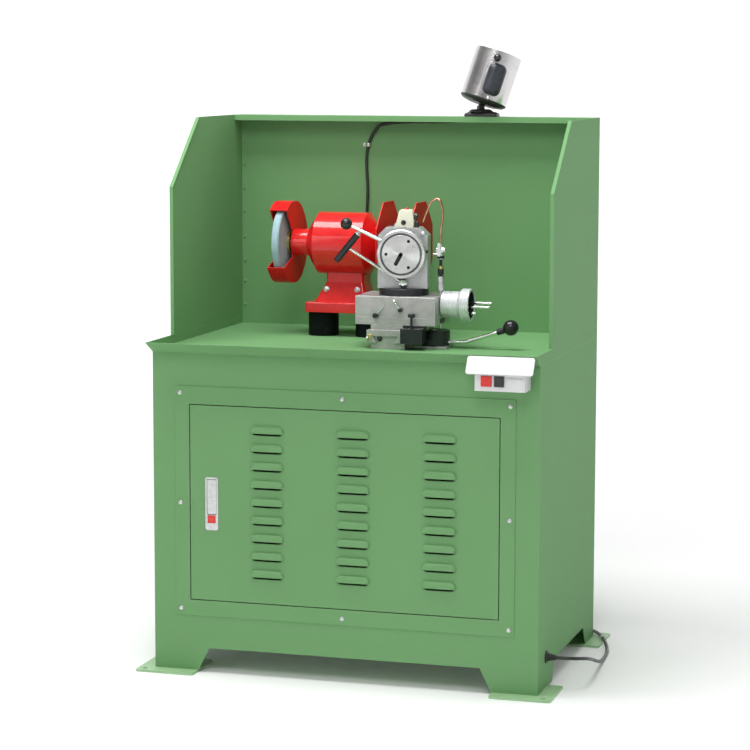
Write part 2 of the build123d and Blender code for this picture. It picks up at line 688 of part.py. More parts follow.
lever_z = 838.5
with BuildPart() as feed_hub:
    hub_bore = stud_r + running
    hub = [(hub_bore, hub_z[0]), (hub_r, hub_z[0]), (hub_r, hub_z[1]), (hub_bore, hub_z[1])]
    turned(hub, (hub_x, hub_y, 0), (0, 0, 1), (0, 1, 0))
    fillet(feed_hub.edges().filter_by(GeomType.CIRCLE).group_by(Axis.Z)[-1].sort_by(SortBy.RADIUS)[-1], 3)
    rod((hub_x - crank_r, hub_y, hub_z[1]), (hub_x - crank_r, hub_y, 877), crank_pin_r)
    rod((190, slide_y, lever_z), (240, slide_y, lever_z), lever_r, mode=Mode.SUBTRACT)
save(feed_hub, "feed_hub")

with BuildPart() as feed_lever:
    with BuildLine() as bent:
        FilletPolyline((190, slide_y, lever_z), (243, slide_y, lever_z), (342, slide_y, 871), radius=25)
    with BuildSketch(Plane(origin=(190, slide_y, lever_z), z_dir=(1, 0, 0))):
        Circle(lever_r)
    sweep(path=bent.line)
    rod((330, slide_y, 867.2), (347, slide_y, 872.7), 8)
    with Locations((364, slide_y, 879.7)):
        Sphere(20)
save(feed_lever, "feed_lever")


# =========================== drill holder ===========================

with BuildPart() as swivel_plate:
    rod((swivel_x, slide_y, cross_z[1]), (swivel_x, slide_y, disc_top), disc_r)
    fillet(swivel_plate.faces().sort_by(Axis.Z)[-1].edges(), 1.5)
    rod((swivel_x, slide_y, disc_top), (swivel_x, slide_y, pivot_top), pivot_r)
save(swivel_plate, "swivel_plate")

with BuildPart() as holder_block:
    with BuildSketch(holder_plane(0, 0, block_d / 2)):
        half, top, slope = block_w / 2, block_z[1], 20
        with BuildLine():
            Polyline(
                (-half, block_z[0]), (-half, top - slope), (-half + slope, top),
                (half - slope, top), (half, top - slope), (half, block_z[0]), close=True,
            )
        make_face()
        with Locations((0, spindle_z)):
            Circle(bore_r + running, mode=Mode.SUBTRACT)
    extrude(amount=-block_d)
    rod((swivel_x, slide_y, 970), (swivel_x, slide_y, pivot_top + 1), pivot_r + running, mode=Mode.SUBTRACT)
    clamp_seat = (holder_point(clamp_x, clamp_z, 16.5), holder_point(clamp_x, clamp_z, 40))
    rod(*clamp_seat, 5 + running, mode=Mode.SUBTRACT)
save(holder_block, "holder_block")

with BuildPart() as chuck_spindle:
    # (radius, distance in front of the swivel axis), from the rear nose to the ring
    turned(
        [
            (drill_r, -75), (24, -75), (26, -73), (26, -39), (34, -39), (34, -31.2), (bore_r, -31.2),
            (bore_r, 31.2), (50, 31.2), (50, ring_back), (ring_r - 2, ring_back), (ring_r, ring_back + 2),
            (ring_r, ring_front - 2), (ring_r - 2, ring_front), (groove_r, ring_front),
            (groove_r - 0.5, 57), (dial_r + 0.5, 57), (dial_r, 56.5), (dial_r, 50), (drill_r, 50),
        ],
        holder_point(0, spindle_z, 0), front, right,
    )
save(chuck_spindle, "chuck_spindle")

with BuildPart() as face_plate:
    with BuildSketch(holder_plane(0, spindle_z, 50)):
        Circle(dial_r)
        with Locations(Location((-6.5, -12), 61.5)):
            SlotCenterToCenter(27, 10, mode=Mode.SUBTRACT)
        with PolarLocations(38, 3, start_angle=60):
            Circle(4, mode=Mode.SUBTRACT)
    extrude(amount=10.5)
    fillet(face_plate.edges().filter_by(GeomType.CIRCLE).sort_by(SortBy.RADIUS)[-1], 1)
save(face_plate, "face_plate")

chuck_root = (-49.2, 33.2)
chuck_ball = (-140, 75)
with BuildPart() as chuck_lever:
    start = holder_point(chuck_root[0], spindle_z + chuck_root[1], 53)
    end = holder_point(chuck_ball[0], spindle_z + chuck_ball[1], 53)
    rod(start, end, 5.5, 3.5)
    with Locations(end):
        Sphere(15)
    # the rod's root meets the rim of the ring
    rod(holder_point(0, spindle_z, 40), holder_point(0, spindle_z, 70), ring_r, mode=Mode.SUBTRACT)
save(chuck_lever, "chuck_lever")

clamp_reach, clamp_rise = 169, radians(148)
grip_rise, grip_half = radians(51), 45.5
with BuildPart() as clamp_lever:
    hub = holder_point(clamp_x, clamp_z, 0)
    dome = [(0, 17), (5, 17), (5, 31.2), (11.5, 31.2), (11.5, 41), (9.5, 44.5), (5, 46.6), (0, 47)]
    turned(dome, hub, front, right)
    tip_x = clamp_x + clamp_reach * cos(clamp_rise)
    tip_z = clamp_z + clamp_reach * sin(clamp_rise)
    rod(holder_point(clamp_x, clamp_z, clamp_d), holder_point(tip_x, tip_z, clamp_d), 3.5)
    ends = [
        holder_point(tip_x + reach * cos(grip_rise), tip_z + reach * sin(grip_rise), clamp_d)
        for reach in (-grip_half, grip_half, grip_half + 9)
    ]
    rod(ends[0], ends[1], 8.5)
    fillet(clamp_lever.edges().filter_by(GeomType.CIRCLE).filter_by(lambda e: abs(e.radius - 8.5) < 0.01), 3)
    rod(ends[1], ends[2], 4)
save(clamp_lever, "clamp_lever")

with BuildPart() as point_locator:
    locator = Plane(origin=holder_point(17, block_z[1], 0), x_dir=right, z_dir=(0, 0, 1))
    with Locations(locator):
        Box(38, 34, 30, align=UP)
        with Locations((-6, 0, 30)):
            Box(22, 24, 13, align=UP)
    rod(holder_point(14, 1141, 0), holder_point(14, 1141, 30), 6, mode=Mode.SUBTRACT)
save(point_locator, "point_locator")


# =========================== coolant ===========================

def up_pipe(stages, x=pipe_x):
    """Stack of round stages, (radius, bottom, top), on the stand pipe's line."""
    for radius, bottom, top in stages:
        rod((x, slide_y, bottom), (x, slide_y, top), radius)


with BuildPart() as coolant_pipe:
    up_pipe([(4, 873, cross_z[0]), (4.5, cross_z[1], 969), (9, 969, 986), (7, 986, 990), (9, 990, 1005)])
    up_pipe([(5, 1005, 1009), (8, 1009, 1023), (5, 1023, 1026), (6.5, 1026, 1030), (4, 1030, 1048)])
    up_pipe([(8, 1048, 1080), (5, 1080, 1086)])
    rod((pipe_x - 6, slide_y, 1060), (pipe_x - 20, slide_y, 1060), 3)
    rod((pipe_x, slide_y, 1064), (pipe_x, slide_y - 14, 1064), 3)
    rod((pipe_x, slide_y, 1083), (pipe_x, slide_y, 1090), 3.05, mode=Mode.SUBTRACT)
save(coolant_pipe, "coolant_pipe")

with BuildPart() as valve_handle:
    block((pipe_x - 4, pipe_x + 4), (slide_y - 18.5, slide_y - 10.5), (1056, 1090))
    fillet(valve_handle.edges().filter_by(Axis.Y), 3)
    rod((pipe_x, slide_y - 9, 1064), (pipe_x, slide_y - 20, 1064), 6)
    rod((pipe_x, slide_y - 9, 1064), (pipe_x, slide_y - 14.1, 1064), 3 + running, mode=Mode.SUBTRACT)
save(valve_handle, "valve_handle")

tube_route = [
    (pipe_x, slide_y, 1083), (pipe_x, slide_y, 1122), (187, slide_y, 1165), (178, slide_y, 1201),
    (157, slide_y + 1, 1196), (145, slide_y + 2, 1172), (133, slide_y + 2, 1140),
]
with BuildPart() as copper_tube:
    cord_tube(tube_route, 3)
save(copper_tube, "copper_tube")


# =========================== mains cord ===========================

with BuildPart() as cord_gland:
    tip = (gland_tip, gland_y, gland_z)
    rod((half_w, gland_y, gland_z), (half_w + 4, gland_y, gland_z), 16)
    rod((half_w + 4, gland_y, gland_z), tip, 11, 5.5)
    rod((half_w - 8, gland_y, gland_z), (half_w, gland_y, gland_z), 8.8)
    rod((half_w - 7, gland_y, gland_z), (half_w - sheet, gland_y, gland_z), 12)
save(cord_gland, "cord_gland")

cord_route = [
    (gland_tip, gland_y, gland_z), (548, gland_y, gland_z), (568, -233.5, 80.5), (584, -218, 78),
    (592.5, -197, 74), (594, -170, 67), (592, -132, 57), (590, -84, 43), (587, -32, 28),
    (583, 24, 14), (578.5, 84, 5.5), (575, 140, 4.25), (569, 188, 4.6), (557, 230, 10.5),
    (543, 270, 13), (527, 308, 14), (507, 346, 14), (479, 380, 12), (442, 404, 6),
    (400, 420, 4.25), (356, 433.5, 4.25), coil_spot(coil_entry, coil_r + cord_r, cord_r, -14),
]
with BuildPart() as mains_cord:
    cord_tube(cord_route, cord_r)
save(mains_cord, "mains_cord")

# five turns: two, two and one on top
inside, outside = coil_r - 2 * cord_r, coil_r + 2 * cord_r
coil_section = [
    (inside, 0), (outside, 0), (outside, 4 * cord_r), (coil_r + cord_r, 6 * cord_r),
    (coil_r - cord_r, 6 * cord_r), (inside, 4 * cord_r),
]
with BuildPart() as cord_coil:
    turned(coil_section, (coil_x, coil_y, 0), (0, 0, 1), (1, 0, 0))
save(cord_coil, "cord_coil")

nose, body, face, pin_tip = (
    Vector(*coil_spot(coil_exit, coil_r, plug_r, along)) for along in (26, 62, 106, 125)
)
with BuildPart() as mains_plug:
    rod(nose, body, 6, 10)
    rod(body, body + (face - body) * 0.3, 14, plug_r)
    rod(body + (face - body) * 0.3, face, plug_r)
    sideways = (face - body).normalized().cross(Vector(0, 0, 1))
    for side in (-1, 1):
        rod(face + sideways * side * 9.5, pin_tip + sideways * side * 9.5, 2.4)
save(mains_plug, "mains_plug")
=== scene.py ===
from math import cos, pi, radians, sin

import bmesh
import bpy
from mathutils import Matrix, Vector


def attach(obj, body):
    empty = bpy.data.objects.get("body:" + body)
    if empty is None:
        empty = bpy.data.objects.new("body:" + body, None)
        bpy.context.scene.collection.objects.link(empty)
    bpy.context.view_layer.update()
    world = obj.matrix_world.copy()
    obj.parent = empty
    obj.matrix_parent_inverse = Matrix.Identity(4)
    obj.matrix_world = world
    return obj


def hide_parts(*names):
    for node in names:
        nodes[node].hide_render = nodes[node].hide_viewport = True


# Looks of a cabinet-type drill bit sharpener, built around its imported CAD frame.
# Positions are written in millimetres in the frame's own axes and turned into metres by MM.

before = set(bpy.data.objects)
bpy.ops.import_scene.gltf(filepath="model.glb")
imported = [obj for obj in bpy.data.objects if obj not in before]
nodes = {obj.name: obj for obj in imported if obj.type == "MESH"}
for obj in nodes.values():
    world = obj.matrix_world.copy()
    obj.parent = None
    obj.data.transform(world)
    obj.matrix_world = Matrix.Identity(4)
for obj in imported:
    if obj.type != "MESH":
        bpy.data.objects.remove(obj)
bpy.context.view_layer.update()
scene = bpy.context.scene
MM = 0.001
UP = (0, 0, 1)
OUT = (0, -1, 0)


# ======================= camera, light and floor =======================

YAW, PITCH, ROLL = radians(16.6546), radians(7.349), radians(0.1178)
forward = Vector((-sin(YAW) * cos(PITCH), cos(YAW) * cos(PITCH), -sin(PITCH)))
level = Vector((cos(YAW), sin(YAW), 0))
upward = level.cross(forward)
camera_x = level * cos(ROLL) + upward * sin(ROLL)
camera_y = upward * cos(ROLL) - level * sin(ROLL)
turned = Matrix((camera_x, camera_y, -forward)).transposed().to_4x4()
CAMERA_SPOT = (1.81846, -6.13101, 1.56094)
camera = bpy.data.objects.new("camera", bpy.data.cameras.new("camera"))
camera.matrix_world = Matrix.Translation(CAMERA_SPOT) @ turned
camera.data.lens = 119.469
camera.data.sensor_width = 36
camera.data.clip_end = 60
scene.collection.objects.link(camera)
scene.camera = camera
scene.view_settings.view_transform = "Standard"


def softbox(name, spot, target, wide, deep, watts):
    """Area light that faces a target."""
    light = bpy.data.lights.new(name, "AREA")
    light.shape = "RECTANGLE"
    light.size = wide
    light.size_y = deep
    light.energy = watts
    lamp = bpy.data.objects.new(name, light)
    lamp.location = spot
    lamp.rotation_euler = (Vector(target) - Vector(spot)).to_track_quat("-Z", "Y").to_euler()
    scene.collection.objects.link(lamp)


softbox("key", (0.7, -4.0, 4.2), (0, 0.1, 1.1), wide=1.8, deep=1.8, watts=72)
softbox("overhead", (-0.5, -0.7, 4.0), (-0.5, 0.1, 0.9), wide=2.8, deep=1.3, watts=128)
softbox("panel", (-2.0, -4.2, 2.4), (0.19, 0.3, 1.5), wide=0.8, deep=2.0, watts=11)


# ======================= shader nodes =======================

class Nodes:
    """A node tree, with short calls that add its nodes."""

    def __init__(self, tree):
        self.tree = tree

    def node(self, kind, inputs=None, **settings):
        made = self.tree.nodes.new(kind)
        for key, value in settings.items():
            setattr(made, key, value)
        for key, value in (inputs or {}).items():
            self.feed(made.inputs[key], value)
        return made

    def feed(self, socket, value):
        if isinstance(value, bpy.types.NodeSocket):
            self.tree.links.new(value, socket)
        elif socket.type == "RGBA" and len(value) == 3:
            socket.default_value = (*value, 1)
        else:
            socket.default_value = value

    def math(self, operation, a, b=0.0, clamp=False):
        made = self.node("ShaderNodeMath", {0: a, 1: b}, operation=operation, use_clamp=clamp)
        return made.outputs[0]

    def span(self, value, low, high, to_low=0.0, to_high=1.0):
        inputs = {"Value": value, "From Min": low, "From Max": high, "To Min": to_low, "To Max": to_high}
        return self.node("ShaderNodeMapRange", inputs, clamp=True).outputs["Result"]


class Shader(Nodes):
    """One procedural material, laid out in the object's own metres."""

    def __init__(self, name, constants=None):
        self.material = bpy.data.materials.new(name)
        self.material.use_nodes = True
        super().__init__(self.material.node_tree)
        self.bsdf = self.tree.nodes["Principled BSDF"]
        self.place = self.node("ShaderNodeTexCoord").outputs["Object"]
        for socket, value in (constants or {}).items():
            self.bsdf.inputs[socket].default_value = value

    def vector(self, operation, a, b=(0, 0, 0)):
        made = self.node("ShaderNodeVectorMath", {0: a, 1: b}, operation=operation)
        is_number = operation in ("DOT_PRODUCT", "DISTANCE", "LENGTH")
        return made.outputs["Value" if is_number else "Vector"]

    def scaled(self, vector, factor):
        made = self.node("ShaderNodeVectorMath", {0: vector, "Scale": factor}, operation="SCALE")
        return made.outputs["Vector"]

    def noise(self, vector, scale, detail=3.0, rough=0.5):
        inputs = {"Vector": vector, "Scale": scale, "Detail": detail, "Roughness": rough}
        return self.node("ShaderNodeTexNoise", inputs).outputs["Fac"]

    def cells(self, vector, scale):
        made = self.node("ShaderNodeTexVoronoi", {"Vector": vector, "Scale": scale})
        return made.outputs["Distance"]

    def mix(self, share, a, b):
        made = self.node("ShaderNodeMix", data_type="RGBA")
        for index, value in ((0, share), (6, a), (7, b)):
            self.feed(made.inputs[index], value)
        return made.outputs[2]

    def blend(self, share, a, b):
        made = self.node("ShaderNodeMix", data_type="FLOAT")
        for index, value in ((0, share), (2, a), (3, b)):
            self.feed(made.inputs[index], value)
        return made.outputs[0]

    def stretched(self, along, fine):
        """Coordinates that change fast along one direction, for brushed or turned metal."""
        share = self.vector("DOT_PRODUCT", self.place, along)
        direction = self.node("ShaderNodeCombineXYZ", {0: along[0], 1: along[1], 2: along[2]})
        grown = self.scaled(direction.outputs[0], self.math("MULTIPLY", share, fine))
        return self.vector("ADD", self.place, grown)

    def from_point(self, point):
        """Vector from a point that is written in millimetres."""
        return self.vector("SUBTRACT", self.place, [c * MM for c in point])

    def off_axis(self, point, along):
        """Distance from a line, in metres."""
        return self.vector("LENGTH", self.vector("CROSS_PRODUCT", self.from_point(point), along))

    def within(self, point, along, radius):
        """Mask that is 1 inside a cylinder about a line."""
        return self.math("LESS_THAN", self.off_axis(point, along), radius * MM)

    def near(self, point, radius):
        """Mask that is 1 inside a ball."""
        gap = self.vector("DISTANCE", self.place, [c * MM for c in point])
        return self.math("LESS_THAN", gap, radius * MM)

    def past(self, point, along):
        """Mask that is 1 beyond a plane through a point."""
        return self.math("GREATER_THAN", self.vector("DOT_PRODUCT", self.from_point(point), along), 0.0)

    def both(self, one, two):
        return self.math("MULTIPLY", one, two)

    def rounded(self, radius):
        return self.node("ShaderNodeBevel", {"Radius": radius * MM}, samples=4).outputs["Normal"]

    def wear_and_highlight_edges(self, radius):
        """1 on outer and inner edges, 0 on flat faces: where edge wear and painted edge highlights go."""
        flat = self.node("ShaderNodeNewGeometry").outputs["Normal"]
        facing = self.vector("DOT_PRODUCT", self.rounded(radius), flat)
        return self.span(facing, 0.97, 0.75)


def finish(low, high, metal=0.0, rough=(0.35, 0.5), patch=9, grit=300, relief=0.01,
           grain=None, rings=None, speckle=None):
    """What one surface is like: two tones, metal or not, gloss, and its fine grain in mm."""
    return {
        "low": low, "high": high, "metal": metal, "rough": rough, "patch": patch, "grit": grit,
        "relief": relief, "grain": grain, "rings": rings, "speckle": speckle,
    }


def layers(s, f):
    """Colour, metal, roughness and height of one finish."""
    where = s.stretched(*f["grain"]) if f["grain"] else s.place
    tone = s.noise(s.place, f["patch"], 5, 0.6)
    grit = s.noise(where, f["grit"], 3, 0.6)
    both = s.math("ADD", s.math("MULTIPLY", tone, 0.6), s.math("MULTIPLY", grit, 0.4))
    share = s.span(both, 0.36, 0.64)
    colour = s.mix(share, f["low"], f["high"])
    height = s.math("MULTIPLY", grit, f["relief"] * MM)
    if f["rings"]:
        origin, along, pitch = f["rings"]
        turn = s.math("SINE", s.math("MULTIPLY", s.off_axis(origin, along), 2 * pi / (pitch * MM)))
        height = s.math("ADD", height, s.math("MULTIPLY", turn, f["relief"] * MM))
    if f["speckle"]:
        dots = s.span(s.cells(s.place, f["speckle"]), 0.1, 0.5)
        colour = s.mix(s.span(dots, 0.0, 1.0, 0.35, 0.0), colour, [c * 0.45 for c in f["low"]])
        height = s.math("ADD", height, s.math("MULTIPLY", dots, 3 * f["relief"] * MM))
    return [colour, f["metal"], s.span(both, 0.35, 0.65, *f["rough"]), height]


def surface(name, base, zones=(), edge=None, soft=0.8, turned_about=None, **constants):
    """Material with one finish, and others where a zone's mask is 1. edge is (tone, share, width): a tone
    painted along the edges, lighter ones as painted highlights, darker ones as painted shade, in patches
    like wear.
    """
    s = Shader(name, {key.replace("_", " "): value for key, value in constants.items()})
    colour, metal, rough, height = layers(s, base)
    for mask, other in zones:
        where = mask(s)
        there = layers(s, other)
        colour = s.mix(where, colour, there[0])
        metal = s.blend(where, metal, there[1])
        rough = s.blend(where, rough, there[2])
        height = s.blend(where, height, there[3])
    # Edge tone: painted highlights along the edges (painted shade where the tone is darker), broken into
    # patches like wear.
    if edge:
        tone, amount, width = edge
        wear_and_glint_patches = s.span(s.noise(s.place, 60, 4), 0.3, 0.6, 0.4, 1.0)
        share = s.math("MULTIPLY", s.math("MULTIPLY", s.wear_and_highlight_edges(width), wear_and_glint_patches), amount)
        colour = s.mix(share, colour, tone)
    bump = {"Height": height, "Distance": 1.0, "Strength": 1.0}
    if soft is None:
        bump["Normal"] = s.node("ShaderNodeNewGeometry").outputs["True Normal"]
    elif soft:
        bump["Normal"] = s.rounded(soft)
    s.feed(s.bsdf.inputs["Base Color"], colour)
    s.feed(s.bsdf.inputs["Metallic"], metal)
    s.feed(s.bsdf.inputs["Roughness"], rough)
    s.feed(s.bsdf.inputs["Normal"], s.node("ShaderNodeBump", bump).outputs["Normal"])
    if turned_about:
        radial = s.node("ShaderNodeTangent", direction_type="RADIAL", axis=turned_about)
        s.feed(s.bsdf.inputs["Tangent"], radial.outputs["Tangent"])
    return s.material


# ======================= places that pieces and finishes share =======================

TURN = radians(8)
RIGHT = Vector((cos(TURN), sin(TURN), 0))
FRONT = Vector((sin(TURN), -cos(TURN), 0))
HOLDER_X, HOLDER_Y, CHUCK_Z = 85, -80, 1062


def at_holder(x, z, d):
    """Point on the drill holder: x to the right, height z, d in front of the swivel axis."""
    return Vector((HOLDER_X, HOLDER_Y, z)) + RIGHT * x + FRONT * d


LEAN, AZIMUTH = radians(19.3), radians(34)
LAMP_ORIGIN = Vector((186, 298, 1420))
LAMP_UP = Vector((sin(LEAN) * cos(AZIMUTH), sin(LEAN) * sin(AZIMUTH), cos(LEAN)))
LAMP_PIN = Vector((-sin(AZIMUTH), cos(AZIMUTH), 0))
HANDLE_OUT = Matrix.Rotation(radians(-9), 3, LAMP_UP) @ -LAMP_PIN
HANDLE_SIDE = LAMP_UP.cross(HANDLE_OUT)


def at_lamp(s, reach=0.0, angle=0.0):
    """Point s above the lamp's pin, reach out from the shade's axis, angle away from its handle."""
    out = Matrix.Rotation(radians(angle), 3, LAMP_UP) @ HANDLE_OUT
    return LAMP_ORIGIN + LAMP_UP * s + out * reach


PIPE_X, PIPE_Y = 181, -80


def at_pipe(z):
    """Point on the axis of the coolant's stand pipe."""
    return (PIPE_X, PIPE_Y, z)


DIAL = at_holder(0, CHUCK_Z, 60)
CHUCK_BALL = at_holder(-140, 1137, 53)
CLAMP_X, CLAMP_Z, CLAMP_REACH, CLAMP_ANGLE = 3, 987, 169, radians(148)
GRIP = at_holder(CLAMP_X + CLAMP_REACH * cos(CLAMP_ANGLE), CLAMP_Z + CLAMP_REACH * sin(CLAMP_ANGLE), 38)
GRIP_UP = RIGHT * cos(radians(51)) + Vector((0, 0, sin(radians(51))))
FEED_AXIS = (0, -80, 934)
FEED_BALL = Vector((364, -80, 879.7))
SADDLE_FRONT_Y = -127.5


# ======================= finishes =======================

RED_LOW, RED_HIGH = (0.62, 0.011, 0.012), (0.76, 0.020, 0.019)
green = finish(
    (0.162, 0.334, 0.146), (0.182, 0.372, 0.166),
    rough=(0.42, 0.54), patch=1.6, grit=420,
)
# Lighter green for the foot plates: the cabinet's paint as a lit copy, a painted reflection of the bright
# floor.
green_with_painted_sheen = finish((0.30, 0.50, 0.27), (0.36, 0.57, 0.32), rough=(0.4, 0.52), patch=6)
casting = finish(RED_LOW, RED_HIGH, rough=(0.3, 0.4), patch=14, grit=40, relief=0.03)
enamel = finish(RED_LOW, RED_HIGH, rough=(0.3, 0.4), patch=10, grit=60)
steel = finish(
    (0.44, 0.45, 0.45), (0.60, 0.61, 0.61), metal=0.55,
    rough=(0.28, 0.4), patch=22, grit=60, relief=0.002, grain=(UP, 4.0),
)
slide = finish(
    (0.37, 0.365, 0.36), (0.52, 0.51, 0.50), metal=0.4,
    rough=(0.32, 0.46), patch=30, grit=90, relief=0.004, grain=(UP, 3.0),
)
satin = finish(
    (0.66, 0.69, 0.70), (0.78, 0.80, 0.81), metal=0.35,
    rough=(0.24, 0.34), patch=20, grit=70, relief=0.002, grain=((1, 0, 0), 4.0),
)
chrome = finish(
    (0.80, 0.81, 0.82), (0.92, 0.92, 0.92), metal=1.0,
    rough=(0.08, 0.18), patch=40, grit=60, relief=0.0005,
)
brushed = finish(
    (0.62, 0.60, 0.61), (0.82, 0.81, 0.80), metal=1.0,
    rough=(0.16, 0.26), patch=8, grit=50, relief=0.001, grain=(LAMP_UP, 14.0),
)
turned_metal = finish(
    (0.62, 0.62, 0.62), (0.78, 0.78, 0.77), metal=0.85,
    rough=(0.24, 0.34), patch=30, grit=40, relief=0.0004, rings=(DIAL, FRONT, 5.0),
)
oxide = finish(
    (0.014, 0.015, 0.018), (0.034, 0.036, 0.042), metal=0.3,
    rough=(0.28, 0.42), patch=30, grit=420,
)
# Dark grey for the dial's groove: painted shade in the groove.
painted_groove_shade = finish(
    (0.10, 0.10, 0.105), (0.16, 0.16, 0.165), metal=0.3,
    rough=(0.4, 0.5), patch=30, grit=60, relief=0.001,
)
black = finish((0.010, 0.010, 0.011), (0.020, 0.020, 0.022), rough=(0.1, 0.2), patch=20, relief=0.004)
# Black with a blue tint for the lamp handle: its own black, with the tint standing partly for its bluish
# sheen as painted reflection.
blue_black_painted_sheen = finish(
    (0.020, 0.023, 0.030), (0.038, 0.043, 0.055),
    rough=(0.34, 0.44), patch=20, grit=80, relief=0.002,
)
pvc = finish(
    (0.016, 0.017, 0.017), (0.034, 0.035, 0.035),
    rough=(0.34, 0.5), patch=30, grit=500, relief=0.012,
)
rubber = finish(
    (0.003, 0.004, 0.004), (0.009, 0.012, 0.011),
    rough=(0.45, 0.6), patch=25, grit=200, relief=0.02,
)
white = finish((0.66, 0.67, 0.67), (0.75, 0.76, 0.76), patch=18, grit=200, relief=0.006)
cream = finish((0.70, 0.68, 0.52), (0.84, 0.83, 0.68), patch=30, grit=600, relief=0.012)
red = finish((0.62, 0.015, 0.012), (0.76, 0.030, 0.022), rough=(0.2, 0.32), patch=40, grit=600, relief=0.006)
grit = finish(
    (0.30, 0.45, 0.50), (0.40, 0.56, 0.60),
    rough=(0.82, 0.96), patch=30, grit=900, relief=0.05, speckle=800,
)
copper = finish(
    (0.42, 0.20, 0.11), (0.80, 0.44, 0.30), metal=1.0,
    rough=(0.14, 0.3), patch=60, grit=500, relief=0.006,
)
brass = finish((0.55, 0.42, 0.14), (0.80, 0.64, 0.26), metal=0.9, rough=(0.22, 0.36), patch=50, grit=500)
zinc = finish((0.56, 0.57, 0.57), (0.74, 0.75, 0.75), metal=0.85, rough=(0.26, 0.42), patch=80, relief=0.008)
opal = finish((0.84, 0.84, 0.80), (0.92, 0.92, 0.90), rough=(0.3, 0.42), patch=12, relief=0.004)
coils = finish(
    (0.16, 0.07, 0.03), (0.48, 0.22, 0.10), metal=0.6,
    patch=20, grit=400, relief=0.05, grain=((1, 0, 0), 6.0),
)
# Lighter edge tones: painted edge highlights, mixed with wear.
PALE_EDGE = ((0.52, 0.74, 0.48), 0.5, 1.6)
BRIGHT_EDGE = ((0.85, 0.85, 0.84), 0.6, 0.7)


# ======================= materials, and zones of other finishes on them =======================

def ring_mask(s, inner, outer):
    """1 between two radii about the chuck's axis."""
    reach = s.off_axis(DIAL, FRONT)
    outside = s.math("GREATER_THAN", reach, inner * MM)
    return s.both(outside, s.math("LESS_THAN", reach, outer * MM))


def dial_recess_shade(s):
    """Everything of the face plate that lies behind its front face, so the slot and holes, which are painted
    black as painted shade.
    """
    return s.both(ring_mask(s, -1, 48), s.past(at_holder(0, CHUCK_Z, 58.8), -FRONT))


def drum_mouth(s, x, radius):
    """Right end of the feed drum, inside a radius."""
    return s.both(s.past((x, 0, 0), (1, 0, 0)), s.within(FEED_AXIS, (1, 0, 0), radius))


def grip_sleeve(s):
    return s.both(s.near(GRIP, 47), s.within(GRIP, GRIP_UP, 8.8))


def saddle_bracket(s):
    """Dark bracket on the right of the saddle's front."""
    ahead = s.math("LESS_THAN", s.vector("DOT_PRODUCT", s.place, (0, 1, 0)), SADDLE_FRONT_Y * MM)
    return s.both(s.past((103, -120, 860), (1, -0.05, 0)), ahead)


def left_flange(s):
    return s.both(s.past((-291.5, 0, 0), (1, 0, 0)), s.past((-280, 0, 0), (-1, 0, 0)))


# The edge tones on these materials are lighter than their finishes: painted edge highlights mixed with wear.
# The stainless one is darker: painted shade on the lamp shade's rims.
panel_paint = surface(
    "panel_paint", green, edge=PALE_EDGE, soft=1.2, IOR=1.2, Specular_IOR_Level=0.1,
)
# Foot plates get the lighter green, a painted reflection of the bright floor.
foot_paint_painted_sheen = surface("foot_paint_painted_sheen", green_with_painted_sheen, edge=PALE_EDGE, soft=1.2)
red_cast = surface(
    "red_cast", casting, edge=((0.80, 0.10, 0.07), 0.4, 1.4), soft=2.0, IOR=1.2,
    Coat_Weight=0.9, Coat_Roughness=0.08,
)
red_sheet = surface(
    "red_sheet", enamel, edge=((0.90, 0.42, 0.36), 0.6, 1.2), soft=1.0, IOR=1.2,
    Specular_IOR_Level=0.1, Coat_Weight=0.15, Coat_Roughness=0.06,
)
ground = surface("ground", steel, edge=BRIGHT_EDGE)
machined = surface("machined", slide, edge=BRIGHT_EDGE, soft=1.0)
chromed = surface("chromed", chrome, soft=0)
drum_metal = surface(
    "drum_metal", satin, soft=0,
    zones=[
        (lambda s: drum_mouth(s, 236, 34.9), oxide),
        (lambda s: drum_mouth(s, 234, 17.5), chrome),
    ],
)
plated = surface("plated", zinc, edge=BRIGHT_EDGE, soft=0.4)
blackened = surface("blackened", oxide, edge=((0.20, 0.21, 0.22), 0.5, 0.6))
gloss_black = surface("gloss_black", black, soft=1.0, Coat_Weight=0.4, Coat_Roughness=0.05)
handle_black = surface("handle_black", blue_black_painted_sheen, soft=1.0)
satin_black = surface("satin_black", pvc, edge=((0.10, 0.10, 0.11), 0.5, 0.8), soft=1.0)
sheath = surface("sheath", pvc, soft=0.5)
pads = surface("pads", rubber, soft=1.2, IOR=1.2, Specular_IOR_Level=0.4)
white_shell = surface("white_shell", white, soft=1.2)
cream_shell = surface("cream_shell", cream, soft=1.0)
red_shell = surface("red_shell", red, Coat_Weight=0.3, Coat_Roughness=0.1)
abrasive = surface("abrasive", grit, edge=((0.42, 0.48, 0.52), 0.5, 2.0), soft=1.2)
bare_copper = surface("bare_copper", copper, soft=0.4)
bare_brass = surface("bare_brass", brass, soft=0.5)
opal_glass = surface("opal_glass", opal, soft=0.5, Coat_Weight=0.3, Coat_Roughness=0.05)
wound = surface("wound", coils, soft=0.5)
# Darker edge tone: painted shade along the lamp shade's rims.
stainless = surface("stainless", brushed, edge=((0.10, 0.10, 0.11), 0.6, 1.2), Anisotropic=0.6)
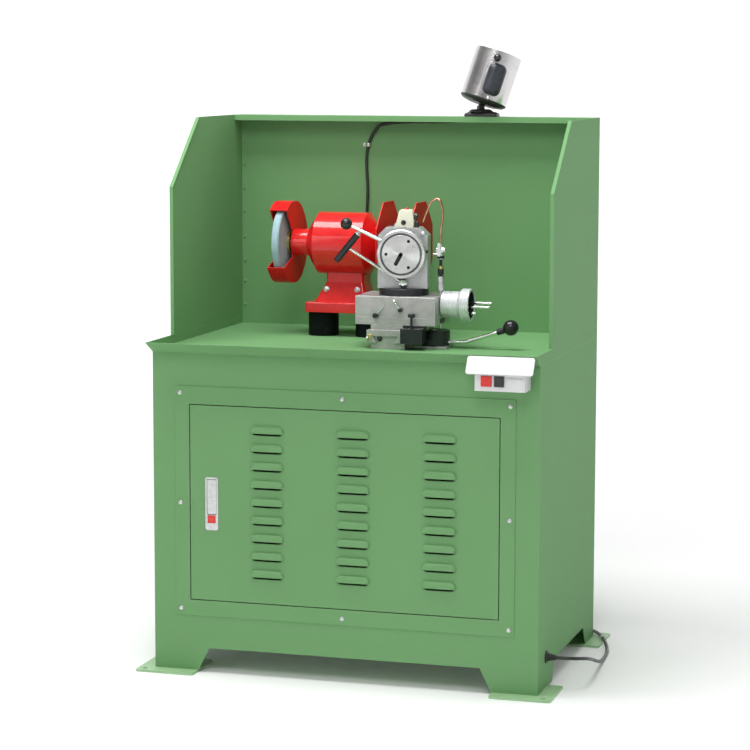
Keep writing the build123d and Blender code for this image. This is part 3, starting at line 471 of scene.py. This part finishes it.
# The groove ring is painted dark grey as painted shade, and the slot and holes black as painted shade.
spun = surface(
    "spun", turned_metal, soft=None, turned_about="Y", Anisotropic=0.9,
    zones=[(lambda s: ring_mask(s, 48.8, 53.2), painted_groove_shade), (dial_recess_shade, black)],
)
feed_arm = surface(
    "feed_arm", chrome, soft=0,
    zones=[
        (lambda s: s.past((328, -80, 866), (0.95, 0, 0.31)), oxide),
        (lambda s: s.near(FEED_BALL, 20.6), black),
    ],
)
chuck_arm = surface("chuck_arm", chrome, soft=0, zones=[(lambda s: s.near(CHUCK_BALL, 15.6), black)])
clamp_arm = surface(
    "clamp_arm", chrome, soft=0,
    zones=[(grip_sleeve, black), (lambda s: s.past(GRIP + GRIP_UP * 42, GRIP_UP), zinc)],
)
saddle_iron = surface(
    "saddle_iron", slide, edge=BRIGHT_EDGE, soft=1.0, zones=[(saddle_bracket, oxide)],
)
pipe_metal = surface(
    "pipe_metal", zinc, soft=0.4,
    zones=[
        (lambda s: s.past(at_pipe(1004.5), UP), oxide),
        (lambda s: s.past(at_pipe(1023), UP), brass),
        (lambda s: s.past(at_pipe(1030.4), UP), oxide),
        (lambda s: s.past(at_pipe(1047.6), UP), chrome),
    ],
)
flange_metal = surface("flange_metal", zinc, soft=0.6, zones=[(left_flange, brass)])

looks = {
    panel_paint: [
        "front_panel", "left_side_panel", "right_side_panel", "rear_panel", "cabinet_floor",
        "door_frame", "door", "tray", "hood_left_panel", "hood_right_panel", "hood_back_panel",
    ],
    foot_paint_painted_sheen: ["foot_plates"],
    red_cast: ["grinder_base", "motor_housing"],
    red_sheet: ["left_guard", "right_guard"],
    ground: ["holder_block", "latch_bolt", "rotor_shaft", "lead_screw"],
    spun: ["chuck_spindle", "face_plate"],
    machined: ["slide_base", "cross_slide"],
    drum_metal: ["feed_drum"],
    saddle_iron: ["saddle"],
    plated: ["frame_screws", "latch_body", "latch_paddle", "spindle_bearings"],
    stainless: ["lamp_shade"],
    blackened: ["lamp_swivel", "feed_hub", "swivel_plate"],
    gloss_black: ["lamp_handle", "start_button"],
    satin_black: ["lamp_base", "lamp_cap"],
    pads: ["riser_pads"],
    white_shell: ["switch_cover", "switch_box"],
    cream_shell: ["point_locator"],
    red_shell: ["stop_button", "latch_button"],
    abrasive: ["left_wheel", "right_wheel"],
    flange_metal: ["wheel_flanges"],
    bare_copper: ["copper_tube"],
    wound: ["motor_stator"],
    opal_glass: ["lamp_bulb"],
    feed_arm: ["feed_lever"],
    chuck_arm: ["chuck_lever"],
    clamp_arm: ["clamp_lever"],
    pipe_metal: ["coolant_pipe"],
    chromed: ["valve_handle"],
    sheath: ["mains_cord", "cord_coil", "mains_plug", "cord_gland", "lamp_cable"],
}
for material, names in looks.items():
    for name in names:
        nodes[name].data.materials.clear()
        nodes[name].data.materials.append(material)


# ======================= mesh pieces =======================

def settle(name, mesh, material, body):
    """Makes the object of a finished bmesh, smooth where it is round."""
    bmesh.ops.remove_doubles(mesh, verts=mesh.verts, dist=1e-6)
    bmesh.ops.recalc_face_normals(mesh, faces=mesh.faces)
    data = bpy.data.meshes.new(name)
    mesh.to_mesh(data)
    mesh.free()
    data.shade_smooth()
    data.set_sharp_from_angle(angle=radians(40))
    data.materials.append(material)
    piece = bpy.data.objects.new(name, data)
    scene.collection.objects.link(piece)
    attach(piece, body)
    return piece


def lathe(name, outline, origin, along, material, body, steps=40, hollow=False):
    """Turned piece from (radius, distance) points. A hollow one closes on its first point."""
    along = Vector(along).normalized()
    across = along.orthogonal().normalized()
    side = along.cross(across)
    mesh = bmesh.new()
    rings = []
    for radius, distance in outline:
        centre = Vector(origin) + along * distance
        angles = [2 * pi * k / steps for k in range(steps if radius > 0.001 else 1)]
        rings.append([
            mesh.verts.new((centre + (across * cos(a) + side * sin(a)) * radius) * MM) for a in angles
        ])
    pairs = list(zip(rings, rings[1:] + rings[:1])) if hollow else list(zip(rings, rings[1:]))
    for one, two in pairs:
        for k in range(steps):
            nxt = (k + 1) % steps
            corners = [one[k % len(one)], one[nxt % len(one)], two[nxt % len(two)], two[k % len(two)]]
            mesh.faces.new(list(dict.fromkeys(corners)))
    return settle(name, mesh, material, body)


def slab(name, outline, origin, across, up, depth, bevel, material, body):
    """Plate with a polygon outline in the (across, up) plane, grown towards the viewer, edges rounded."""
    across, up = Vector(across).normalized(), Vector(up).normalized()
    out = across.cross(up)
    mesh = bmesh.new()
    floor = [mesh.verts.new((Vector(origin) + across * x + up * y) * MM) for x, y in outline]
    face = mesh.faces.new(floor)
    grown = bmesh.ops.extrude_face_region(mesh, geom=[face])["geom"]
    tops = [v for v in grown if isinstance(v, bmesh.types.BMVert)]
    bmesh.ops.translate(mesh, verts=tops, vec=out * depth * MM)
    bmesh.ops.bevel(mesh, geom=list(mesh.edges), offset=bevel * MM, segments=3, affect="EDGES", profile=0.6)
    return settle(name, mesh, material, body)


def rounded_loop(half_wide, half_tall, radius, steps=8):
    """(u, v) points round a rectangle with rounded corners."""
    loop = []
    for quarter, (side, rise) in enumerate(((1, 1), (-1, 1), (-1, -1), (1, -1))):
        centre_u, centre_v = side * (half_wide - radius), rise * (half_tall - radius)
        for k in range(steps + 1):
            a = pi / 2 * (quarter + k / steps)
            loop.append((centre_u + radius * cos(a), centre_v + radius * sin(a)))
    return loop


def stacked(name, levels, material, body):
    """Skin over loops with equal counts, closed at both ends."""
    mesh = bmesh.new()
    rings = [[mesh.verts.new(spot * MM) for spot in level] for level in levels]
    for one, two in zip(rings, rings[1:]):
        for k in range(len(one)):
            nxt = (k + 1) % len(one)
            mesh.faces.new([one[k], one[nxt], two[nxt], two[k]])
    mesh.faces.new(rings[0])
    mesh.faces.new(rings[-1])
    return settle(name, mesh, material, body)


def dome(name, spot, along, radius, height, material, body, steps=20):
    """Round screw or rivet head with a rolled rim."""
    outline = [(0, -0.5), (radius, -0.5), (radius, 0.25 * height), (0.92 * radius, 0.55 * height),
               (0.7 * radius, 0.82 * height), (0.4 * radius, 0.96 * height), (0, height)]
    return lathe(name, outline, spot, along, material, body, steps)


def arm(name, start, end, radius, end_radius, material, body):
    """Tapered round bar with rounded ends."""
    along = Vector(end) - Vector(start)
    outline = [(0, -0.4 * radius), (0.7 * radius, -0.2 * radius), (radius, 0.3 * radius),
               (end_radius, along.length - 0.3 * end_radius),
               (0.7 * end_radius, along.length + 0.2 * end_radius), (0, along.length + 0.4 * end_radius)]
    return lathe(name, outline, start, along, material, body, 24)


def ball(radius, centre, count=10):
    """(radius, distance) points of a ball, centre being its distance along the axis."""
    turns = [pi * k / count for k in range(count + 1)]
    return [(radius * sin(a), centre - radius * cos(a)) for a in turns]


# ======================= hood, pedestal and cable clip =======================

HOOD_LEFT_X, HOOD_BACK_Y, TRAY_Z = -489, 331, 823
for k, z in enumerate((874, 939, 996, 1061, 1133, 1195, 1260, 1321)):
    spot = (HOOD_LEFT_X, HOOD_BACK_Y, z)
    dome(f"hood_rivet_{k}", spot, OUT, 4.2, 2.4, panel_paint, "cabinet")
for k, y in enumerate((-138, -83, -16, 42, 112, 190, 241)):
    spot = (HOOD_LEFT_X - 3, y, TRAY_Z)
    dome(f"weld_dot_{k}", spot, UP, 4.0, 1.8, panel_paint, "cabinet")

# washers and bolt heads on the sloped front of the grinder's pedestal
PEDESTAL_SLOPE = Vector((0, -0.945, 0.327))
bolt = [(0, -1), (8, -1), (8, 1.2), (7.4, 1.8), (5.6, 1.8), (5.6, 5.4), (4.6, 6.2), (0, 6.2)]
for k, x in enumerate((-177, -92)):
    lathe(f"pedestal_bolt_{k}", bolt, (x, 91.8, 947), PEDESTAL_SLOPE, plated, "cabinet", 24)

CLIP_X, CLIP_Y, CLIP_Z = -133, 326, 1318
clip = [(4.1, -5), (6.0, -5), (6.6, -4.2), (6.6, 4.2), (6.0, 5), (4.1, 5)]
lathe("cable_clip_band", clip, (CLIP_X, CLIP_Y, CLIP_Z), (0.04, 0, 1), plated, "cabinet", 28,
      hollow=True)
ear = [(-16, -5), (-3, -5), (-3, 5), (-16, 5)]
slab("cable_clip_ear", ear, (CLIP_X, HOOD_BACK_Y, CLIP_Z), (1, 0, 0), UP, 1.6, 0.5, plated, "cabinet")
dome("cable_clip_screw", (CLIP_X - 11, HOOD_BACK_Y - 1.6, CLIP_Z), OUT, 3.0, 2.0, plated, "cabinet")


# ======================= work lamp =======================

KNOB_S = 132
knob = [(0, 60), (6.5, 60), (6.5, 61.5), (4, 62.5), (4, 63.5)] + ball(10.5, 72)[2:]
lathe("lamp_knob", knob, at_lamp(KNOB_S), at_lamp(KNOB_S, 1, -10) - at_lamp(KNOB_S), gloss_black,
      "lamp_head")
dome("lamp_screw", at_lamp(25, 62.5, -1), HANDLE_OUT, 5.2, 5.0, chromed, "lamp_head")

# moulded handle: an upright bar with rounded ends, domed outwards
GRIP_S = 76
grip_levels = []
for shrink, reach in ((0, 56), (0, 62), (0.8, 66), (2.6, 69.5), (5.6, 72.4), (10, 74.6), (15, 75.8)):
    level_spots = rounded_loop(24 - shrink, 43 - shrink, 17 - 0.8 * shrink)
    grip_levels.append([at_lamp(GRIP_S + v, reach) + HANDLE_SIDE * u for u, v in level_spots])
lamp_grip = stacked("lamp_grip", grip_levels, handle_black, "lamp_head")
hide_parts("lamp_handle")

# moulded boot over the lamp's base, as (half width, half depth, height) levels
BOOT_X, BOOT_Y = 189, 299.5
boot_sizes = (
    (44, 23, 1397.1), (44, 23, 1403.4), (42.6, 22.4, 1405.4), (36, 20, 1408.6), (29, 17, 1409.8),
)
boot_levels = []
for half_x, half_y, z in boot_sizes:
    level_spots = rounded_loop(half_x, half_y, 7)
    boot_levels.append([Vector((BOOT_X + u, BOOT_Y + v, z)) for u, v in level_spots])
lamp_boot = stacked("lamp_boot", boot_levels, satin_black, "cabinet")
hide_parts("lamp_base")

# collar that turns with the lamp
collar = [
    (21.5, 1410.2), (32, 1410.2), (32.4, 1411.2), (29, 1413.6), (26, 1415.6), (23, 1416.2), (21.5, 1416.2),
]
lathe("lamp_collar", collar, (LAMP_ORIGIN.x, LAMP_ORIGIN.y, 0), UP, satin_black, "lamp_pan",
      36, hollow=True)


# ======================= slides and feed =======================

SLIDE_FRONT_Y, SADDLE_BUTTON_Y = -150, -158
hub = [(0, -1), (6, -1), (6, 2), (4, 3), (4, 7), (6.5, 8), (6.5, 13), (5.5, 14), (0, 14)]
lathe("lock_hub_left", hub, (32, SLIDE_FRONT_Y, 908), OUT, blackened, "cross_slide")
arm("lock_arm_left", (34, -159, 911), (55, -162, 934), 3.0, 2.0, chromed, "cross_slide")
hub = [(0, -1), (5, -1), (5, 3), (3.5, 4), (3.5, 6), (5.2, 7), (5.2, 12), (4.2, 13), (0, 13)]
lathe("lock_hub_right", hub, (97, SLIDE_FRONT_Y, 923), OUT, blackened, "cross_slide")
arm("lock_arm_right", (96, -159, 925), (84, -161, 942), 2.2, 2.6, chromed, "cross_slide")
lathe("lock_knob_right", ball(5.5, 0), (82.3, -161, 945), OUT, chromed, "cross_slide")
dome("saddle_stud", (11.5, SADDLE_BUTTON_Y, 850), OUT, 4.6, 7, plated, "saddle")
slab("saddle_pointer", [(0, 17), (13, 17), (8, 0)], (12, SADDLE_BUTTON_Y, 843), (1, 0, 0), UP, 2.2, 0.7,
     bare_brass, "saddle")
dome("way_button", (41.5, SLIDE_FRONT_Y, 848), OUT, 6.5, 7, gloss_black, "cabinet")
dome("hub_screw", (167, -94, 867.5), UP, 5.0, 3.2, chromed, "feed_lever")
arm("drum_nub", (255, -88, 914), (275, -88, 914), 3.6, 3.2, chromed, "feed_screw")


# ======================= drill holder =======================

dome("ring_screw", at_holder(61, 1068, 31), FRONT, 4.5, 4.5, blackened, "drill_holder")
dome("block_boss", at_holder(52, 1112, 31), FRONT, 6.5, 4.0, plated, "drill_holder")

# cream body of the point locator, with its eye, red dot, knob and foot
locator_outline = [
    (-22, 0), (24, 0), (26, 10), (25, 24), (22, 41), (18, 44.5), (-8, 44.5), (-12, 40), (-18, 14),
]
locator = slab("locator_body", locator_outline, at_holder(0, 1127, -15), RIGHT, UP, 30, 1.6,
               cream_shell, "drill_holder")
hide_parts("point_locator")
eye = [(0, 0.3), (5.6, 0.3), (6.4, 0.9), (6.4, 1.5), (5.4, 1.7), (5.0, 0.6), (0, 0.5)]
lathe("locator_eye", eye, at_holder(0, 1139, 15), FRONT, gloss_black, "drill_holder", 28)
dome("locator_dot", at_holder(5, 1171.2, -2), UP, 5.4, 4.8, red_shell, "drill_holder")
screw = [(0, -1), (5, -1), (5, 2), (8, 3), (9, 6), (8.6, 10), (6, 12.4), (0, 13)]
lathe("locator_knob", screw, at_holder(23.5, 1154, 3), RIGHT, gloss_black, "drill_holder")
foot = [(0, -1), (6, -1), (6.5, 4), (6.5, 12), (4.6, 15), (0, 15.6)]
lathe("locator_foot", foot, at_holder(33, 1127, 6), UP, gloss_black, "drill_holder")

# dark ring at the back of the chuck's bore: painted shade deep in the bore
lining = [(4.5, -74), (7.9, -74), (7.9, -64), (4.5, -64)]
lathe("bore_painted_shade", lining, at_holder(0, CHUCK_Z, 0), FRONT, satin_black, "drill_holder",
      28, hollow=True)


# ======================= coolant valve and switch box =======================

# chromed barrel across the stand pipe, and its packing nut
barrel = [
    (0, -12), (5, -12), (6, -11), (6, -8), (8.6, -7.4), (9, -6),
    (9, 6), (8.6, 7.4), (6.4, 8), (6.4, 11), (5.6, 12), (0, 12),
]
lathe("valve_barrel", barrel, at_pipe(1071), (1, 0, 0), chromed, "cross_slide", 28)
packing = [(0, -2), (8, -2), (9.4, -1), (9.4, 5), (8, 6.4), (6, 7), (0, 7)]
lathe("valve_packing", packing, at_pipe(1051), UP, blackened, "cross_slide", 8)

# raised plate of the switch box
slab("switch_plate", [(0, 0), (39, 0), (39, 22), (0, 22)], (432, -396, 771), (1, 0, 0), UP, 1.2, 0.5,
     white_shell, "cabinet")


# ======================= cords =======================

def spline(name, points, radius, material, body):
    """Round flexible cord on one NURBS spline through its control points."""
    curve = bpy.data.curves.new(name, "CURVE")
    curve.dimensions = "3D"
    curve.bevel_depth = radius * MM
    curve.bevel_resolution = 6
    curve.resolution_u = 8
    curve.use_fill_caps = True
    line = curve.splines.new("NURBS")
    line.points.add(len(points) - 1)
    for spot, point in zip(line.points, points):
        spot.co = (*[c * MM for c in point], 1)
    line.order_u = 3
    line.use_endpoint_u = True
    curve.materials.append(material)
    piece = bpy.data.objects.new(name, curve)
    scene.collection.objects.link(piece)
    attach(piece, body)
    return piece


def drift(angle, start, length):
    """0 before an angle, 1 after it has gone on by length, at an even bend between."""
    share = min(max((angle - start) / length, 0.0), 1.0)
    return 2 * share * share if share < 0.5 else 1 - 2 * (1 - share) ** 2


CORD_R = 4.25
COIL_X, COIL_Y, COIL_R = 300, 399.5, 46.75
COIL_START, COIL_END = 72, 1550
TURN_STEP = 360 / 24
PLUG_ANGLE = 110
EXIT_X, EXIT_Y, EXIT_Z = 526, -242, 82


def coil_turn(angle):
    """Radius and height of the coil at an angle: outer turn, inner turn, then back out and on top."""
    inward = drift(angle, 357, 75) - drift(angle, 1030, 75) + 0.5 * drift(angle, 1350, 70)
    layer = drift(angle, 690, 70) + drift(angle, 1345, 65)
    radius = COIL_R + CORD_R - 2 * CORD_R * inward
    return radius * 1.0043, CORD_R + 2 * CORD_R * layer


def coil_spot(angle, radius, height, beyond=0.0):
    """Point at an angle on the coil, or beyond it along the tangent."""
    a = radians(angle)
    x = COIL_X + radius * cos(a) - beyond * sin(a)
    y = COIL_Y + radius * sin(a) + beyond * cos(a)
    return (x, y, height)


cord_route = [
    (EXIT_X, EXIT_Y, EXIT_Z), (548, -242, 82), (568, -233.5, 80.5), (584, -218, 78),
    (592.5, -197, 74), (594, -170, 67), (592, -132, 57), (590, -84, 43), (587, -32, 28),
    (583, 24, 14), (578.5, 84, 5.5), (575, 140, 4.25), (569, 188, 4.6), (557, 230, 10.5),
    (543, 270, 13), (527, 308, 14), (507, 346, 14), (479, 380, 12), (442, 404, 6),
    (400, 420, 4.25), (356, 433.5, 4.25), coil_spot(COIL_START, COIL_R + CORD_R, CORD_R, -14),
]
angle = COIL_START + TURN_STEP / 2
while angle < COIL_END:
    cord_route.append(coil_spot(angle, *coil_turn(angle)))
    angle += TURN_STEP
for height, beyond in ((21.25, 0), (20.6, 14), (20, 30)):
    cord_route.append(coil_spot(PLUG_ANGLE, COIL_R, height, beyond))

mains_lead = spline("mains_lead", cord_route, CORD_R, sheath, "cabinet")
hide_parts("mains_cord", "cord_coil")

boot = [(0, -4), (16, -4), (16, -0.8), (15.2, 0), (11.6, 0), (11, 0.8)]
for k in range(5):
    reach, wide = 2.5 + 4.2 * k, 10.9 - 0.95 * k
    boot += [(wide, reach), (wide - 1.3, reach + 0.7), (wide - 1.5, reach + 2.2), (wide - 0.5, reach + 3.0)]
boot += [(5.9, 22), (5.4, 22.6), (4.2, 22.6), (0, 22.6)]
strain_relief = lathe("strain_relief", boot, (EXIT_X - 22.4, EXIT_Y, EXIT_Z), (1, 0, 0), sheath, "cabinet")
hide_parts("cord_gland")

nose = Vector(coil_spot(PLUG_ANGLE, COIL_R, 20, 26))
plug_way = (Vector(coil_spot(PLUG_ANGLE, COIL_R, 20, 27)) - nose).normalized()
plug_outline = [(0, 0), (5.2, 0), (6, 0.8)]
for k in range(5):
    wide, reach = 6.2 + 0.75 * k, 6 * k
    plug_outline += [(wide + 0.9, reach + 3), (wide + 0.9, reach + 6.5)]
    plug_outline += [(wide, reach + 7), (wide, reach + 8.4)]
plug_outline += [
    (11, 35), (13, 37), (14.5, 41), (17.5, 46), (19.2, 50), (19.8, 56), (19.8, 62), (18.6, 63.2),
    (18.6, 64.4), (19.8, 65.6), (19.8, 77), (19, 79.2), (17.4, 80), (0, 80),
]
mains_tip = lathe("mains_tip", plug_outline, nose, plug_way, sheath, "cabinet")
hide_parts("mains_plug")
pin_side = plug_way.cross(Vector((0, 0, 1)))
pin = [(0, 0), (2.4, 0), (2.4, 18), (1.9, 19.4), (1.0, 19.9), (0, 20)]
for side, label in ((-1, "left"), (1, "right")):
    root = nose + plug_way * 79 + pin_side * side * 9.5
    lathe(f"plug_pin_{label}", pin, root, plug_way, plated, "cabinet", 20)


def coil_strap():
    """Closed rubber strap round the coil's turns."""
    strap_angle = radians(215)
    outward = Vector((cos(strap_angle), sin(strap_angle), 0))
    sideways = Vector((-sin(strap_angle), cos(strap_angle), 0))
    around = [
        (37.6, 1.0), (56.0, 1.0), (56.6, 4.5), (56.4, 15.5), (52.5, 20.5),
        (49.5, 26.2), (44.0, 26.2), (40.0, 20.5), (37.2, 15.5), (37.0, 4.5),
    ]
    middle_height, thickness = 13, 1.1
    pulls = [Vector((COIL_R - reach, middle_height - height, 0)).normalized() for reach, height in around]
    mesh = bmesh.new()
    rings = []
    for offset, inset in ((-4.0, 0.5), (-3.6, 0.0), (3.6, 0.0), (4.0, 0.5)):
        centre = Vector((COIL_X, COIL_Y, 0)) + sideways * offset
        ring = []
        for (reach, height), pull in zip(around, pulls):
            pull = pull * inset
            spot = centre + outward * (reach + pull.x) + Vector((0, 0, height + pull.y))
            ring.append(mesh.verts.new(spot * MM))
        rings.append(ring)
    lining = []
    for source in (rings[-1], rings[0]):
        ring = []
        for vert, pull in zip(source, pulls):
            shift = outward * pull.x + Vector((0, 0, pull.y))
            ring.append(mesh.verts.new(vert.co + shift * thickness * MM))
        lining.append(ring)
    loop = rings + lining
    for one, two in zip(loop, loop[1:] + loop[:1]):
        for k in range(len(around)):
            nxt = (k + 1) % len(around)
            mesh.faces.new([one[k], one[nxt], two[nxt], two[k]])
    return settle("coil_tie", mesh, pads, "cabinet")


coil_tie = coil_strap()
band = [(4.3, -4), (5.6, -4), (6.2, -3), (6.2, 3), (5.6, 4), (4.3, 4)]
lead_tie = lathe("lead_tie", band, (536, 288, 13.6), (-0.44, 0.9, 0.03), white_shell, "cabinet",
                 28, hollow=True)

lamp_route = [
    (150, 316, 1397), (150, 316, 1381), (-90, 318, 1381), (-118, 322, 1352),
    (-133, 326, 1320), (-140, 327, 1277), (-134, 327, 1196), (-137.5, 327, 1136),
    (-137, 322, 1095), (-137, 322, 818),
]
lamp_lead = spline("lamp_lead", lamp_route, 4, sheath, "cabinet")
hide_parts("lamp_cable")


# ======================= floor and surroundings =======================

FLOOR_FRONT_Y, FLOOR_END_Y, COVE_R, WALL_Y, WALL_TOP = -40.0, 3.4, 2.2, 5.6, 9.0
FLOOR_SIDE_X = 40


def backdrop():
    """Pale floor that curves up into a wall behind the machine, and glows: faintly near the machine, more
    strongly farther away.
    """
    mesh = bmesh.new()
    cove = [radians(a) for a in range(6, 91, 6)]
    profile = [(FLOOR_FRONT_Y, 0.0), (FLOOR_END_Y, 0.0)]
    profile += [(FLOOR_END_Y + COVE_R * sin(a), COVE_R - COVE_R * cos(a)) for a in cove]
    profile += [(WALL_Y, WALL_TOP)]
    rows = [[mesh.verts.new((x, y, z)) for x in (-FLOOR_SIDE_X, FLOOR_SIDE_X)] for y, z in profile]
    for one, two in zip(rows, rows[1:]):
        mesh.faces.new([one[0], one[1], two[1], two[0]])
    data = bpy.data.meshes.new("backdrop")
    mesh.to_mesh(data)
    mesh.free()
    data.shade_smooth()
    paper = Shader("paper")
    tone = paper.noise(paper.place, 1.5, 4)
    paper.feed(paper.bsdf.inputs["Base Color"], paper.mix(tone, (0.90, 0.90, 0.90), (0.93, 0.93, 0.93)))
    paper.bsdf.inputs["Roughness"].default_value = 0.9
    # Painted glow: the backdrop emits light, faintly near the machine and more strongly farther out.
    paper.bsdf.inputs["Emission Color"].default_value = (1, 1, 1, 1)
    away = paper.vector("LENGTH", paper.place)
    paper.feed(paper.bsdf.inputs["Emission Strength"], paper.span(away, 1.6, 5.0, 0.04, 0.46))
    paper.bsdf.inputs["Specular IOR Level"].default_value = 0.1
    data.materials.append(paper.material)
    piece = bpy.data.objects.new("backdrop", data)
    scene.collection.objects.link(piece)


def surroundings():
    """Pale studio: bright above, with dimmer stretches between the windows that metal reflects."""
    world = bpy.data.worlds.new("studio")
    scene.world = world
    world.use_nodes = True
    sky = world.node_tree.nodes["Background"]
    n = Nodes(world.node_tree)
    way = n.node("ShaderNodeTexCoord").outputs["Generated"]
    parts = n.node("ShaderNodeSeparateXYZ", {0: way}).outputs
    height = n.span(parts["Z"], -0.1, 0.8, 0.75, 1.1)
    bearing = n.math("ARCTAN2", parts["Y"], parts["X"])
    wave = n.math("SINE", n.math("MULTIPLY", bearing, 5))
    dips = n.span(wave, -0.7, 0.7, 0.66, 1.15)
    horizon = n.span(parts["Z"], 0.0, 0.2, 1.3, 0.0)
    strength = n.math("ADD", n.math("MULTIPLY", height, dips), horizon)
    n.feed(sky.inputs["Strength"], strength)
    n.feed(sky.inputs["Color"], (0.31, 0.31, 0.31))


backdrop()
surroundings()
